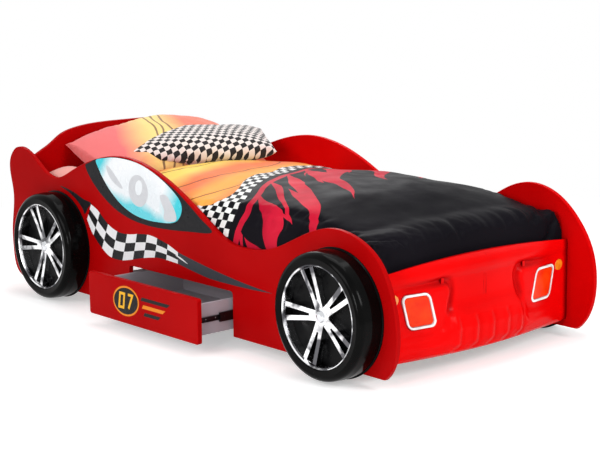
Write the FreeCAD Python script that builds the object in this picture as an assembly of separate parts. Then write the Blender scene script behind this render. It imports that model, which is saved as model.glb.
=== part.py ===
import FreeCAD, Part
import math
import os

V = FreeCAD.Vector
os.makedirs("parts", exist_ok=True)

# Car bed for children. +X runs to the nose, +Y to the left side, +Z up.
# The origin is the underside of the centre foot. All sizes in mm.

# driving sizes
mattress_length = 1976.0
mattress_width = 900.0
mattress_height = 135.0
bed_inner_width = 942.0
board = 18.0
edge_ease = 2.0
head_from_leg = 1204.0
foot_from_leg = 800.0
tail_overhang = 174.0
nose_overhang = 122.0
tail_height = 581.0
dip_height = 487.0
roof_height = 616.0
valley_height = 366.0
fender_height = 493.0
far_fender_height = 543.0
far_fender_reach = 20.0
skirt_height = 39.0
head_peak_height = 673.0
head_side_height = 557.0
head_bottom_height = 150.0
slat_thickness = 18.0
slat_width = 70.0
slat_count = 13
slat_top = 318.0
rail_height = 38.0
rail_depth = 25.0
beam_bottom = 120.0
post_size = 40.0
front_post_setback = 180.0
glide_radius = 18.0
glide_height = 30.0
drawer_center_x = -205.0
notch_width = 630.0
notch_top = 202.0
notch_corner = 14.0
drawer_front_overlap = 19.0
drawer_front_bottom = 42.0
drawer_front_top = 203.0
drawer_depth = 400.0
drawer_side_bottom = 64.0
drawer_side_top = 175.0
drawer_board = 12.0
drawer_bottom_board = 6.0
drawer_open = 152.0
runner_height = 36.0
runner_steel = 1.2
wheel_radius = 214.0
wheel_width = 97.0
wheel_height = 219.0
rim_radius = 171.0
front_wheel_x = 650.0
rear_wheel_x = -1006.0
spoke_count = 5
spoke_start = 38.0
bumper_top = 383.0
bumper_bottom = 54.0
bumper_depth = 74.0
bumper_wall = 12.0
lamp_center_y = 308.0
lamp_center_z = 228.0
lamp_width = 132.0
lamp_height = 118.0
lamp_corner = 24.0
lamp_lean = 0.27
bezel_proud = 4.0
pod_inner = 150.0
pod_lean = 44.0
pod_top = 314.0
pod_bottom = 122.0
pod_corner = 46.0
pod_face = 0.66
channel_depth = 7.0
channel_half = 10.0
indicator_y = 418.0
indicator_z = 277.0
indicator_radius = 11.0
louvre_pitch = 78.0
louvre_count = 5
louvre_width = 30.0
louvre_bottom = 78.0
louvre_height = 104.0
louvre_depth = 4.5
duvet_head_x = -760.0
duvet_loft = 60.0
duvet_thickness = 26.0
pillow_width = 800.0
pillow_length = 400.0
pillow_loft = 165.0
pillow_lean = 20.0
pillow_sag = 58.0
check_pillow_width = 555.0
check_pillow_length = 290.0
check_pillow_loft = 122.0
check_pillow_lean = 10.0
check_pillow_turn = -29.0
check_pillow_sag = 6.0
rib_board = 12.0

# clearances
joint_gap = 0.3
drawer_gap = 1.0
runner_space = 13.0
hole_gap = 0.15

# derived sizes
half_in = bed_inner_width / 2
half_out = half_in + board
head_x = -head_from_leg
foot_x = foot_from_leg
tail_x = head_x - tail_overhang
nose_x = foot_x + nose_overhang
panel_length = nose_x - tail_x
slat_bottom = slat_top - slat_thickness
notch_x0 = drawer_center_x - notch_width / 2
notch_x1 = drawer_center_x + notch_width / 2
box_x0 = notch_x0 + runner_space
box_x1 = notch_x1 - runner_space
front_face_y = -half_out - drawer_gap - board - drawer_open
box_front_y = front_face_y + board
runner_z = (drawer_side_bottom + drawer_side_top) / 2 - 1.5
bumper_back = foot_x + board + joint_gap
bed_top = slat_top + mattress_height


def box(x0, x1, y0, y1, z0, z1):
    return Part.makeBox(x1 - x0, y1 - y0, z1 - z0, V(x0, y0, z0))


def cyl(center, axis, radius, length):
    return Part.makeCylinder(radius, length, V(*center), V(*axis))


def spline(points):
    curve = Part.BSplineCurve()
    curve.interpolate(points)
    return curve.toShape()


def line(a, b):
    return Part.makeLine(a, b)


def prism(edges, direction):
    wire = Part.Wire(Part.__sortEdges__(edges))
    return Part.Face(wire).extrude(direction)


def rounded_rect(center, u, v, width, height, radius):
    c = V(*center)
    a = width / 2 - radius
    b = height / 2 - radius
    k = radius * (1 - math.sqrt(0.5))
    edges = []
    signs = [(1, 1), (-1, 1), (-1, -1), (1, -1)]
    for i in range(4):
        sx, sy = signs[i]
        nx, ny = signs[(i + 1) % 4]
        if i % 2 == 0:
            p0 = c + u * (sx * (a + radius)) + v * (sy * b)
            p1 = c + u * (sx * a) + v * (sy * (b + radius))
        else:
            p0 = c + u * (sx * a) + v * (sy * (b + radius))
            p1 = c + u * (sx * (a + radius)) + v * (sy * b)
        mid = c + u * (sx * (a + radius - k)) + v * (sy * (b + radius - k))
        edges.append(Part.Arc(p0, mid, p1).toShape())
        if i % 2 == 0:
            q = c + u * (nx * a) + v * (ny * (b + radius))
        else:
            q = c + u * (nx * (a + radius)) + v * (ny * b)
        if (q - p1).Length > 1e-6:
            edges.append(line(p1, q))
    return edges


def soft_step(t):
    t = min(1.0, max(0.0, t))
    return t * t * (3 - 2 * t)


def save(name, shape):
    shape.exportStep("parts/" + name + ".step")


def outline_points(side):
    # stations along the panel as a part of its length, and the height there
    body = skirt_height
    low = [(0.029, body), (0.008, body + 40), (0.001, body + 115)]
    tail = [(0.0, 0.40), (0.009, 0.68), (0.001, 0.90), (0.022, 0.998)]
    pts = []
    for f, z in low:
        pts.append(V(tail_x + f * panel_length, 0, z))
    for f, h in tail:
        pts.append(V(tail_x + f * panel_length, 0, tail_height * h))
    a = tail_height - dip_height
    b = roof_height - dip_height
    c = roof_height - valley_height
    fender = far_fender_height if side > 0 else fender_height
    reach = far_fender_reach if side > 0 else 0.0
    d = fender - valley_height
    rest = [
        (0.081, dip_height + 0.76 * a),
        (0.129, dip_height + 0.09 * a),
        (0.155, dip_height),
        (0.203, dip_height + 0.29 * b),
        (0.278, dip_height + 0.78 * b),
        (0.355, roof_height),
        (0.425, roof_height - 0.07 * c),
        (0.512, roof_height - 0.36 * c),
        (0.599, valley_height + 0.204 * c),
        (0.638, valley_height + 0.04 * c),
        (0.682, valley_height),
        (0.734, valley_height + 0.12 * d),
        (0.808, valley_height + 0.68 * d),
        (0.869, fender),
        (0.921, valley_height + 0.87 * d),
        (0.965, valley_height + 0.38 * d),
        (0.990, 0.63 * fender),
        (1.0, 0.425 * fender),
        (0.995, 0.198 * fender_height),
        (0.977, skirt_height),
    ]
    for f, z in rest:
        out = reach * soft_step((f - 0.85) / 0.12) * soft_step((z - skirt_height) / 160.0)
        pts.append(V(tail_x + f * panel_length + out, 0, z))
    return pts


def split_spline(pts, count):
    # one smooth curve through the points, as a chain of edges
    curve = Part.BSplineCurve()
    curve.interpolate(pts)
    a = curve.FirstParameter
    b = curve.LastParameter
    cuts = [a + (b - a) * i / count for i in range(count + 1)]
    return [curve.toShape(p, q) for p, q in zip(cuts, cuts[1:])]


def side_panel(side, notched):
    y = -half_out if side < 0 else half_in
    pts = [p + V(0, y, 0) for p in outline_points(side)]
    edges = split_spline(pts, 5)
    start = pts[0]
    end = pts[-1]
    if notched:
        r = notch_corner
        z1 = notch_top
        z0 = skirt_height
        k = r * (1 - math.sqrt(0.5))
        p = [
            end,
            V(notch_x1, y, z0),
            V(notch_x1, y, z1 - r),
            V(notch_x1 - r, y, z1),
            V(notch_x0 + r, y, z1),
            V(notch_x0, y, z1 - r),
            V(notch_x0, y, z0),
            start,
        ]
        edges.append(line(p[0], p[1]))
        edges.append(line(p[1], p[2]))
        m = V(notch_x1 - k, y, z1 - k)
        edges.append(Part.Arc(p[2], m, p[3]).toShape())
        edges.append(line(p[3], p[4]))
        m = V(notch_x0 + k, y, z1 - k)
        edges.append(Part.Arc(p[4], m, p[5]).toShape())
        edges.append(line(p[5], p[6]))
        edges.append(line(p[6], p[7]))
    else:
        edges.append(line(end, start))
    body = prism(edges, V(0, board, 0))
    long_edges = [e for e in body.Edges if e.Curve.TypeId == "Part::GeomBSplineCurve"]
    body = body.makeChamfer(edge_ease, long_edges)
    for x in (front_wheel_x, rear_wheel_x):
        body = body.cut(cyl((x, y - 1, wheel_height), (0, 1, 0), 5 + hole_gap, board + 2))
    return body


def headboard():
    w = half_in - joint_gap
    x = head_x - board
    a = head_peak_height - head_side_height
    shape = [
        (1.0, 0.0),
        (0.935, 0.15),
        (0.835, 0.37),
        (0.73, 0.66),
        (0.575, 0.87),
        (0.36, 0.975),
        (0.0, 1.0),
    ]
    right = [V(x, -w * f, head_side_height + a * h) for f, h in shape]
    left = [V(x, w * f, head_side_height + a * h) for f, h in shape[:-1]]
    pts = right + left[::-1]
    b0 = V(x, -w, head_bottom_height)
    b1 = V(x, w, head_bottom_height)
    edges = [spline(pts), line(pts[-1], b1), line(b1, b0), line(b0, pts[0])]
    body = prism(edges, V(board, 0, 0))
    tops = [e for e in body.Edges if e.Curve.TypeId == "Part::GeomBSplineCurve"]
    return body.makeChamfer(edge_ease, tops)


def foot_board():
    w = half_in - joint_gap
    return box(foot_x, foot_x + board, -w, w, beam_bottom, bumper_top - 55)


def blend_table(table, g):
    # value at g in a table of (value, g) rows with g going down
    for (f0, g0), (f1, g1) in zip(table, table[1:]):
        if g >= g1:
            return f0 + (f1 - f0) * (g0 - g) / (g0 - g1)
    return table[-1][0]


bumper_face = [
    (0.20, 1.000),
    (0.46, 0.985),
    (0.62, 0.92),
    (0.60, 0.86),
    (0.45, 0.80),
    (0.42, 0.70),
    (0.44, 0.56),
    (0.54, 0.48),
    (0.84, 0.405),
    (1.00, 0.29),
    (0.94, 0.14),
    (0.70, 0.035),
    (0.25, 0.0),
]


def bumper_edges(y):
    # height of the lower and the upper edge at one place across the bed
    t = abs(y) / half_in
    return bumper_bottom + 14.0 * t * t, bumper_top - 24.0 * t * t


def bow(y):
    # how far the front stands out there, as a part of the middle
    t = abs(y) / half_in
    return 1.0 - 0.42 * t * t


def pod_inside(y, z):
    # distance inside the raised lamp field, negative outside it
    lean = pod_lean * (pod_top - z) / (pod_top - pod_bottom)
    dx = abs(y) - pod_inner - lean
    dz = min(z - pod_bottom, pod_top - z)
    r = pod_corner
    if dx < r and dz < r:
        return r - math.hypot(r - dx, r - dz)
    return min(dx, dz)


def louvre_relief(y, z):
    # raised lobes, each with a hooked groove down its side
    out = 0.0
    high = louvre_bottom + louvre_height
    for i in range(louvre_count):
        c = (i - (louvre_count - 1) / 2) * louvre_pitch
        if abs(y - c) > 45:
            continue
        w = louvre_width / 2
        hook = [(w, high), (w, louvre_bottom + w), (0.6 * w, louvre_bottom + 0.3 * w), (-0.4 * w, louvre_bottom)]
        near = 1e9
        for (y0, z0), (y1, z1) in zip(hook, hook[1:]):
            dy = y1 - y0
            dz = z1 - z0
            f = ((y - c - y0) * dy + (z - z0) * dz) / (dy * dy + dz * dz)
            f = min(1.0, max(0.0, f))
            near = min(near, math.hypot(y - c - y0 - f * dy, z - z0 - f * dz))
        out -= louvre_depth * math.exp(-((near / 7.0) ** 2))
        lobe = soft_step((z - louvre_bottom) / 14) * soft_step((high - z) / 14)
        out += 3.0 * lobe * math.exp(-((abs(y - c) / w) ** 4))
    return out


def skin_point(y, g):
    low, top = bumper_edges(y)
    z = low + g * (top - low)
    d = (bumper_depth - 14.0) * bow(y)
    x = bumper_back + blend_table(bumper_face, g) * d
    s = pod_inside(y, z)
    x = x + (bumper_back + pod_face * d - x) * soft_step(s / 24.0)
    x = x - channel_depth * math.exp(-((s / channel_half) ** 2))
    x = x + louvre_relief(y, z)
    return V(max(x, bumper_back + 8.0), y, z)


def clamped(count):
    # knots and multiplicities of a cubic with this many poles
    knots = [float(i) for i in range(count - 2)]
    mults = [4] + [1] * (count - 4) + [4]
    return knots, mults


def bumper_block():
    # everything behind the moulded face, back to the foot board
    w = half_in - joint_gap
    fine = 210.0
    rows = [-w, -w + 14, -w + 40]
    rows = rows + [-w + 40 + (w - fine - 40) * i / 6 for i in range(1, 7)]
    half_rows = rows + [-fine + fine * i / 28 for i in range(1, 29)]
    ys = half_rows + [-v for v in half_rows[:-1][::-1]]
    gs = [1.0 - 0.5 * i / 18 for i in range(18)] + [0.5 - 0.5 * i / 22 for i in range(23)]
    poles = [[skin_point(y, g) for g in gs] for y in ys]
    ku, mu = clamped(len(ys))
    kv, mv = clamped(len(gs))
    skin = Part.BSplineSurface()
    skin.buildFromPolesMultsKnots(poles, mu, mv, ku, kv, False, False, 3, 3)
    block = skin.toShape().extrude(V(-160, 0, 0))
    return block.common(box(bumper_back, bumper_back + 300, -half_out, half_out, 0, 900))


def inner_profile(y):
    low, top = bumper_edges(y)
    d = (bumper_depth - 14.0) * bow(y)
    deep = bumper_wall + channel_depth - 2.0
    pts = []
    for f, g in bumper_face:
        f = min(f, 0.84)
        z = low + bumper_wall + g * (top - low - 2 * bumper_wall)
        x = bumper_back + f * d - deep * min(1.0, 0.35 + 1.6 * f)
        pts.append(V(x, y, z))
    return pts


def inner_wire(y):
    pts = inner_profile(y)
    x0 = bumper_back - 1.0
    a = pts[0]
    b = pts[-1]
    p = V(x0, y, a.z)
    q = V(x0, y, b.z)
    pts = [V(max(c.x, x0 + 1.5), y, c.z) for c in pts]
    edges = [spline(pts), line(pts[-1], q), line(q, p), line(p, pts[0])]
    return Part.Wire(edges)


def stations(half, count):
    return [-half + 2 * half * i / (count - 1) for i in range(count)]


def lamp_pocket(side, grow, x0, x1):
    c = (x0, side * lamp_center_y, lamp_center_z)
    u = V(0, 1, 0)
    v = V(0, side * lamp_lean, 1)
    w = lamp_width + 2 * grow
    h = lamp_height + 2 * grow
    edges = rounded_rect(c, u, v, w, h, lamp_corner + grow)
    return prism(edges, V(x1 - x0, 0, 0))


def face_x(y):
    # front of the flat lamp face at one place across the bed
    return bumper_back + pod_face * (bumper_depth - 14.0) * bow(y)


def front_bumper():
    w = half_in - joint_gap
    outer = bumper_block()
    inner = Part.makeLoft([inner_wire(y) for y in stations(w + 2, 9)], True, False)
    body = outer.cut(inner)
    ribs = []
    for y in (-200.0, 0.0, 200.0):
        z1 = bumper_top - 60
        r = rib_board / 2
        ribs.append(box(bumper_back, bumper_back + 0.36 * bumper_depth, y - r, y + r, beam_bottom, z1))
    body = body.fuse(ribs)
    lamp_x = face_x(lamp_center_y)
    for side in (-1, 1):
        body = body.cut(lamp_pocket(side, 3.0, lamp_x - 40, lamp_x + 60))
        y = side * indicator_y
        start = (face_x(indicator_y) - 30, y, indicator_z)
        body = body.cut(cyl(start, (1, 0, 0), indicator_radius + joint_gap, 60))
    return body


def lamp_bezel(side):
    x = face_x(lamp_center_y)
    outer = lamp_pocket(side, 3.0 - joint_gap, x - 12, x + bezel_proud)
    inner = lamp_pocket(side, -5.0, x - 13, x + bezel_proud + 1)
    back = lamp_pocket(side, 3.0 - joint_gap, x - 16, x - 12)
    return outer.cut(inner).fuse(back).removeSplitter()


def lamp_lens(side):
    x = face_x(lamp_center_y)
    body = lamp_pocket(side, -7.0, x - 12, x + bezel_proud - 1)
    front = [e for e in body.Edges if abs(e.CenterOfMass.x - x - bezel_proud + 1) < 0.01]
    return body.makeFillet(3.0, front)


def indicator(side):
    x = face_x(indicator_y)
    y = side * indicator_y
    disc = cyl((x - 12, y, indicator_z), (1, 0, 0), indicator_radius, 16)
    rim = [e for e in disc.Edges if abs(e.CenterOfMass.x - x - 4) < 0.01]
    return disc.makeFillet(3.0, rim)


def slats():
    out = []
    span = foot_x - head_x - slat_width - 60
    half = half_in - 9
    for i in range(slat_count):
        x = head_x + 30 + span * i / (slat_count - 1)
        out.append(box(x, x + slat_width, -half, half, slat_bottom, slat_top))
    return Part.makeCompound(out)


def rail(side):
    y0 = half_in - rail_depth if side > 0 else -half_in
    z0 = slat_bottom - rail_height
    return box(head_x, foot_x, y0, y0 + rail_depth, z0, slat_bottom)


def posts():
    out = []
    z1 = slat_bottom - rail_height
    for x0 in (head_x, foot_x - post_size - front_post_setback):
        for y0 in (-half_in, half_in - post_size):
            y1 = y0 + post_size
            out.append(box(x0, x0 + post_size, y0, y1, glide_height, z1))
    return Part.makeCompound(out)


def glides():
    out = []
    for x in (head_x + post_size / 2, foot_x - post_size / 2 - front_post_setback):
        for y in (-half_in + post_size / 2, half_in - post_size / 2):
            disc = cyl((x, y, 0), (0, 0, 1), glide_radius, 8)
            stem = cyl((x, y, 8), (0, 0, 1), 5, glide_height - 8)
            out.append(disc.fuse(stem))
    return Part.makeCompound(out)


def centre_beam():
    return box(head_x, foot_x, -board / 2, board / 2, beam_bottom, slat_bottom)


def centre_leg():
    h = post_size / 2
    return box(-h, h, -h, h, glide_height, beam_bottom)


def centre_foot():
    disc = cyl((0, 0, 0), (0, 0, 1), glide_radius + 6, 10)
    stem = cyl((0, 0, 10), (0, 0, 1), 5, glide_height - 10)
    return disc.fuse(stem)


def guide(side):
    x0 = notch_x1 if side > 0 else notch_x0 - board
    y1 = -board / 2
    return box(x0, x0 + board, -half_in, y1, drawer_side_bottom, drawer_side_top)


def runner(side, kind):
    # telescopic runner in three nested channels, seen along Y
    # the middle one's deep lips take in its ball cages
    s = runner_steel
    lip = runner_steel
    inner_half = runner_height / 2 - 9.0
    length = drawer_depth - 20
    closed_y = -half_in + 3.0
    wall = notch_x1 if side > 0 else notch_x0
    box_wall = box_x1 if side > 0 else box_x0
    h = runner_height / 2
    if kind == "outer":
        shift = 0.0
        back = wall
        front = wall - side * (runner_space - 2.0)
        half = h
    elif kind == "middle":
        shift = -drawer_open / 2
        back = wall - side * (s + 2.0)
        front = box_wall + side * (s + 1.8)
        half = h - s - joint_gap
        lip = half - inner_half - joint_gap
    else:
        shift = -drawer_open
        back = box_wall
        front = wall - side * (2 * s + 4.2)
        half = inner_half
    y0 = closed_y + shift
    inward = -side if kind != "inner" else side
    web0 = min(back, back + inward * s)
    web = box(web0, web0 + s, y0, y0 + length, runner_z - half, runner_z + half)
    x0 = min(back, front)
    x1 = max(back, front)
    top = box(x0, x1, y0, y0 + length, runner_z + half - lip, runner_z + half)
    low = box(x0, x1, y0, y0 + length, runner_z - half, runner_z - half + lip)
    body = web.fuse([top, low]).removeSplitter()
    for i in range(9):
        y = y0 + 20 + i * (length - 40) / 8
        hole = cyl((web0 - 1, y, runner_z), (1, 0, 0), 2.4, s + 2)
        body = body.cut(hole)
    return body


def drawer_front():
    o = drawer_front_overlap
    w = notch_width + 2 * o
    h = drawer_front_top - drawer_front_bottom
    c = (drawer_center_x, front_face_y, drawer_front_bottom + h / 2)
    edges = rounded_rect(c, V(1, 0, 0), V(0, 0, 1), w, h, 10.0)
    body = prism(edges, V(0, board, 0))
    face = [e for e in body.Edges if abs(e.BoundBox.YMax - front_face_y) < 0.01]
    return body.makeFillet(2.5, face)


def drawer_side(side):
    x0 = box_x0 if side < 0 else box_x1 - drawer_board
    y1 = box_front_y + drawer_depth
    return box(x0, x0 + drawer_board, box_front_y, y1, drawer_side_bottom, drawer_side_top)


def drawer_back():
    y1 = box_front_y + drawer_depth
    x0 = box_x0 + drawer_board
    x1 = box_x1 - drawer_board
    return box(x0, x1, y1 - drawer_board, y1, drawer_side_bottom, drawer_side_top)


def drawer_bottom():
    y1 = box_front_y + drawer_depth - drawer_board
    x0 = box_x0 + drawer_board
    x1 = box_x1 - drawer_board
    z0 = drawer_side_bottom + 6
    return box(x0, x1, box_front_y, y1, z0, z0 + drawer_bottom_board)


def revolve_y(points, x, side):
    # closed profile of radius and distance out from the panel
    y0 = side * half_out
    pts = [V(x + r, y0 + side * d, wheel_height) for r, d in points]
    pts.append(pts[0])
    face = Part.Face(Part.makePolygon(pts))
    return face.revolve(V(x, 0, wheel_height), V(0, 1, 0), 360)


def wheel_tyre(x, side):
    r = wheel_radius
    w = wheel_width
    q = rim_radius
    y0 = side * half_out
    wall = 5.0
    floor = w - 46.0

    def p(radius, out):
        return V(x + radius, y0 + side * out, wheel_height)

    foot = floor + joint_gap
    edges = [
        line(p(q, foot), p(q + wall, foot)),
        line(p(q + wall, foot), p(q + wall, w - 14)),
        line(p(q + wall, w - 14), p(r - wall, w - 26)),
        line(p(r - wall, w - 26), p(r - wall, 6.0)),
        line(p(r - wall, 6.0), p(r - wall, 0.0)),
        line(p(r - wall, 0.0), p(r + 3, 0.0)),
        line(p(r + 3, 0.0), p(r + 3, 3.0)),
        line(p(r + 3, 3.0), p(r - 1.5, 5.0)),
        line(p(r - 1.5, 5.0), p(r, w * 0.5)),
        line(p(r, w * 0.5), p(r - 2.5, w - 22)),
        Part.Arc(p(r - 2.5, w - 22), p(r - 9.5, w - 7), p(r - 22, w)).toShape(),
        line(p(r - 22, w), p(q + 4, w - 2.5)),
        Part.Arc(p(q + 4, w - 2.5), p(q + 1.2, w - 3.8), p(q, w - 7)).toShape(),
        line(p(q, w - 7), p(q, foot)),
    ]
    face = Part.Face(Part.Wire(edges))
    return face.revolve(V(x, 0, wheel_height), V(0, 1, 0), 360)


def wheel_dish(x, side):
    # flat black back of the wheel with the boss that the bolt passes through
    floor = wheel_width - 46.0
    wall = 5.0
    r0 = 5 + hole_gap
    prof = [(r0, 0.0), (34, 0.0), (34, floor - wall), (rim_radius + wall, floor - wall)]
    return revolve_y(prof + [(rim_radius + wall, floor), (r0, floor)], x, side)


def spoke_plan(angle, x, side):
    # one split spoke seen along the axle
    r0 = 18.0
    r1 = rim_radius - 8.0
    y = side * half_out
    a = math.radians(angle)
    u = V(math.cos(a) * -side, 0, math.sin(a))
    v = V(-math.sin(a) * -side, 0, math.cos(a))
    c = V(x, y, wheel_height)
    outer = [(r0, 17.0), (62, 20.0), (r1, 32.0), (r1, -32.0), (62, -20.0), (r0, -17.0)]
    pts = [c + u * p + v * q for p, q in outer]
    pts.append(pts[0])
    arm = Part.Face(Part.makePolygon(pts)).extrude(V(0, side * wheel_width, 0))
    slot = [(56.0, 4.0), (r1 - 2, 15.0), (r1 - 2, -15.0), (56.0, -4.0)]
    pts = [c + u * p + v * q for p, q in slot]
    pts.append(pts[0])
    cut = Part.Face(Part.makePolygon(pts)).extrude(V(0, side * wheel_width, 0))
    return arm.cut(cut)


def wheel_rim(x, side):
    w = wheel_width
    floor = w - 46.0
    q = rim_radius - joint_gap
    ring = [(q, floor), (q, w - 5), (q - 2.5, w - 4), (q - 6, w - 8), (q - 8, w - 15)]
    ring = ring + [(q - 8, floor)]
    ring_body = revolve_y(ring, x, side)
    dish = [(20.2, floor), (q - 7, floor), (q - 7, w - 15), (90, w - 23), (20.2, w - 27)]
    dish_body = revolve_y(dish, x, side)
    arms = []
    for i in range(spoke_count):
        arms.append(spoke_plan(spoke_start + i * 360.0 / spoke_count, x, side))
    star = arms[0].fuse(arms[1:])
    hub = revolve_y([(20.2, floor), (34, floor), (34, w - 30), (30, w - 25), (20.2, w - 24)], x, side)
    return dish_body.common(star).fuse([ring_body, hub]).removeSplitter()


def hub_cap(x, side):
    w = wheel_width
    floor = w - 46.0
    prof = [(0.0, floor), (20, floor), (20, w - 24), (17, w - 20), (9, w - 17.5), (0.0, w - 17)]
    return revolve_y(prof, x, side)


def wheel_bolts():
    out = []
    for x in (front_wheel_x, rear_wheel_x):
        for side in (-1, 1):
            y_in = side * half_in
            axis = (0, side, 0)
            head = cyl((x, y_in - side * 6, wheel_height), axis, 12, 6)
            shank = cyl((x, y_in, wheel_height), axis, 5, board + wheel_width - 46)
            out.append(head.fuse(shank))
    return Part.makeCompound(out)


def soft_wire(center, u, v, a, b, power):
    # closed section of a filled cushion, four splines over a squarish curve
    pts = []
    count = 24
    for i in range(count):
        t = 2 * math.pi * i / count
        c = math.cos(t)
        s = math.sin(t)
        cu = math.copysign(abs(c) ** power, c)
        sv = math.copysign(abs(s) ** power, s)
        pts.append(center + u * (a * cu) + v * (b * sv))
    curve = Part.BSplineCurve()
    curve.interpolate(pts, True)
    return Part.Wire([curve.toShape()])


def pillow(width, length, loft, center, lean, turn, sag):
    # width across the bed, length up the slope, crown in the middle
    u = V(0, 1, 0)
    wires = []
    count = 9
    for i in range(count):
        f = -1 + 2 * i / (count - 1)
        f = f * 0.985
        along = f * width / 2
        crown = (1 - abs(f) ** 2.4) ** 0.5
        half_t = max(6.0, loft / 2 * crown)
        edge = 1 - 0.05 * (1 - (2 * abs(f) - 1) ** 2) + 0.03 * abs(f) ** 3
        a = length / 2 * edge
        c = V(0, along, -sag * f * f)
        wires.append(soft_wire(c, V(1, 0, 0), V(0, 0, 1), a, half_t, 0.72))
    body = Part.makeLoft(wires, True, False)
    body.rotate(V(0, 0, 0), V(0, 1, 0), lean)
    body.rotate(V(0, 0, 0), V(0, 0, 1), turn)
    body.translate(V(*center))
    return body


def pillows():
    # the lower pillow is pressed by the upper one, by the bed and by the headboard
    at = (head_x + 222, 70.0, bed_top + 120)
    large = pillow(pillow_width, pillow_length, pillow_loft, at, pillow_lean, 0.0, pillow_sag)
    at = (head_x + 328, 158.0, bed_top + 115)
    size = (check_pillow_width, check_pillow_length, check_pillow_loft)
    small = pillow(*size, at, check_pillow_lean, check_pillow_turn, check_pillow_sag)
    w = half_in
    below = box(head_x - 200, foot_x, -w, w, 0, bed_top + joint_gap)
    behind = box(head_x - 200, head_x + joint_gap, -w, w, 0, 900)
    cover = duvet()
    small = small.cut(below).cut(cover)
    large = large.cut(below).cut(behind).cut(small).cut(cover)
    return large, small


def mattress():
    x0 = head_x + 2.0
    x1 = x0 + mattress_length
    h = mattress_width / 2
    body = box(x0, x1, -h, h, slat_top, slat_top + mattress_height)
    return body.makeFillet(20.0, body.Edges)


def duvet_section(x, half, top, low, crown, ripple):
    # side falls, shoulder arcs and a crowned top with soft folds
    r = 22.0
    k = r * (1 - math.sqrt(0.5))
    p = [
        V(x, -half, low),
        V(x, -half, top - r),
        V(x, -half + r, top),
    ]
    m = V(x, -half + k, top - k)
    span = half - r
    ridge = []
    for i in range(9):
        f = -1 + 2 * i / 8
        lift = crown * (1 - abs(f) ** 2.2)
        lift = lift + ripple * math.sin(3.0 * math.pi * f + x * 0.011) * (1 - f * f)
        ridge.append(V(x, f * span, top + lift))
    edges = [
        line(p[0], p[1]),
        Part.Arc(p[1], m, p[2]).toShape(),
        spline(ridge),
    ]
    q0 = V(x, half - r, top)
    q1 = V(x, half, top - r)
    m2 = V(x, half - k, top - k)
    edges.append(Part.Arc(q0, m2, q1).toShape())
    q2 = V(x, half, low)
    edges.append(line(q1, q2))
    edges.append(line(q2, p[0]))
    return Part.Wire(edges)


def duvet():
    half = half_in - 4.0
    top = bed_top + duvet_thickness
    low = slat_top + 14.0
    rows = [
        (duvet_head_x, -14.0, 0.20),
        (duvet_head_x + 60, -2.0, 0.55),
        (-450.0, 2.0, 0.84),
        (-100.0, 4.0, 1.0),
        (200.0, 16.0, 0.90),
        (430.0, 17.0, 0.74),
        (540.0, 6.0, 0.62),
        (620.0, -9.0, 0.50),
        (715.0, -17.0, 0.34),
        (768.0, -21.0, 0.20),
        (788.0, -48.0, 0.10),
        (foot_x - 1.0, -92.0, 0.04),
    ]
    wires = []
    for x, drop, part in rows:
        wires.append(duvet_section(x, half, top + drop, low, duvet_loft * part, 4.0 * part))
    body = Part.makeLoft(wires, True, False)
    x1 = head_x + 2.0 + mattress_length + joint_gap
    h = mattress_width / 2 + joint_gap
    z1 = bed_top + joint_gap
    return body.cut(box(duvet_head_x - 80, x1, -h, h, slat_top - 30, z1))


def build():
    save("side_panel_right", side_panel(-1, True))
    save("side_panel_left", side_panel(1, False))
    save("headboard", headboard())
    save("foot_board", foot_board())
    save("front_bumper", front_bumper())
    save("headlight_bezels", Part.makeCompound([lamp_bezel(-1), lamp_bezel(1)]))
    save("headlight_lenses", Part.makeCompound([lamp_lens(-1), lamp_lens(1)]))
    save("indicator_lenses", Part.makeCompound([indicator(-1), indicator(1)]))
    save("slat_rail_right", rail(-1))
    save("slat_rail_left", rail(1))
    save("slats", slats())
    save("corner_posts", posts())
    save("corner_glides", glides())
    save("centre_beam", centre_beam())
    save("centre_leg", centre_leg())
    save("centre_foot", centre_foot())
    save("drawer_guide_right", guide(1))
    save("drawer_guide_left", guide(-1))
    for side, word in ((-1, "left"), (1, "right")):
        for kind in ("outer", "middle", "inner"):
            save("runner_" + kind + "_" + word, runner(side, kind))
        save("drawer_side_" + word, drawer_side(side))
    save("drawer_front", drawer_front())
    save("drawer_back", drawer_back())
    save("drawer_bottom", drawer_bottom())
    for x, end in ((front_wheel_x, "front"), (rear_wheel_x, "rear")):
        for side, word in ((-1, "right"), (1, "left")):
            tag = end + "_" + word
            save("wheel_tyre_" + tag, wheel_tyre(x, side))
            save("wheel_dish_" + tag, wheel_dish(x, side))
            save("wheel_rim_" + tag, wheel_rim(x, side))
            save("hub_cap_" + tag, hub_cap(x, side))
    save("wheel_bolts", wheel_bolts())
    save("mattress", mattress())
    save("duvet", duvet())
    large, small = pillows()
    save("pillow_large", large)
    save("pillow_checkered", small)


build()
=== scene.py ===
import math

import bmesh
import bpy
from mathutils import Matrix, Vector, noise


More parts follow.
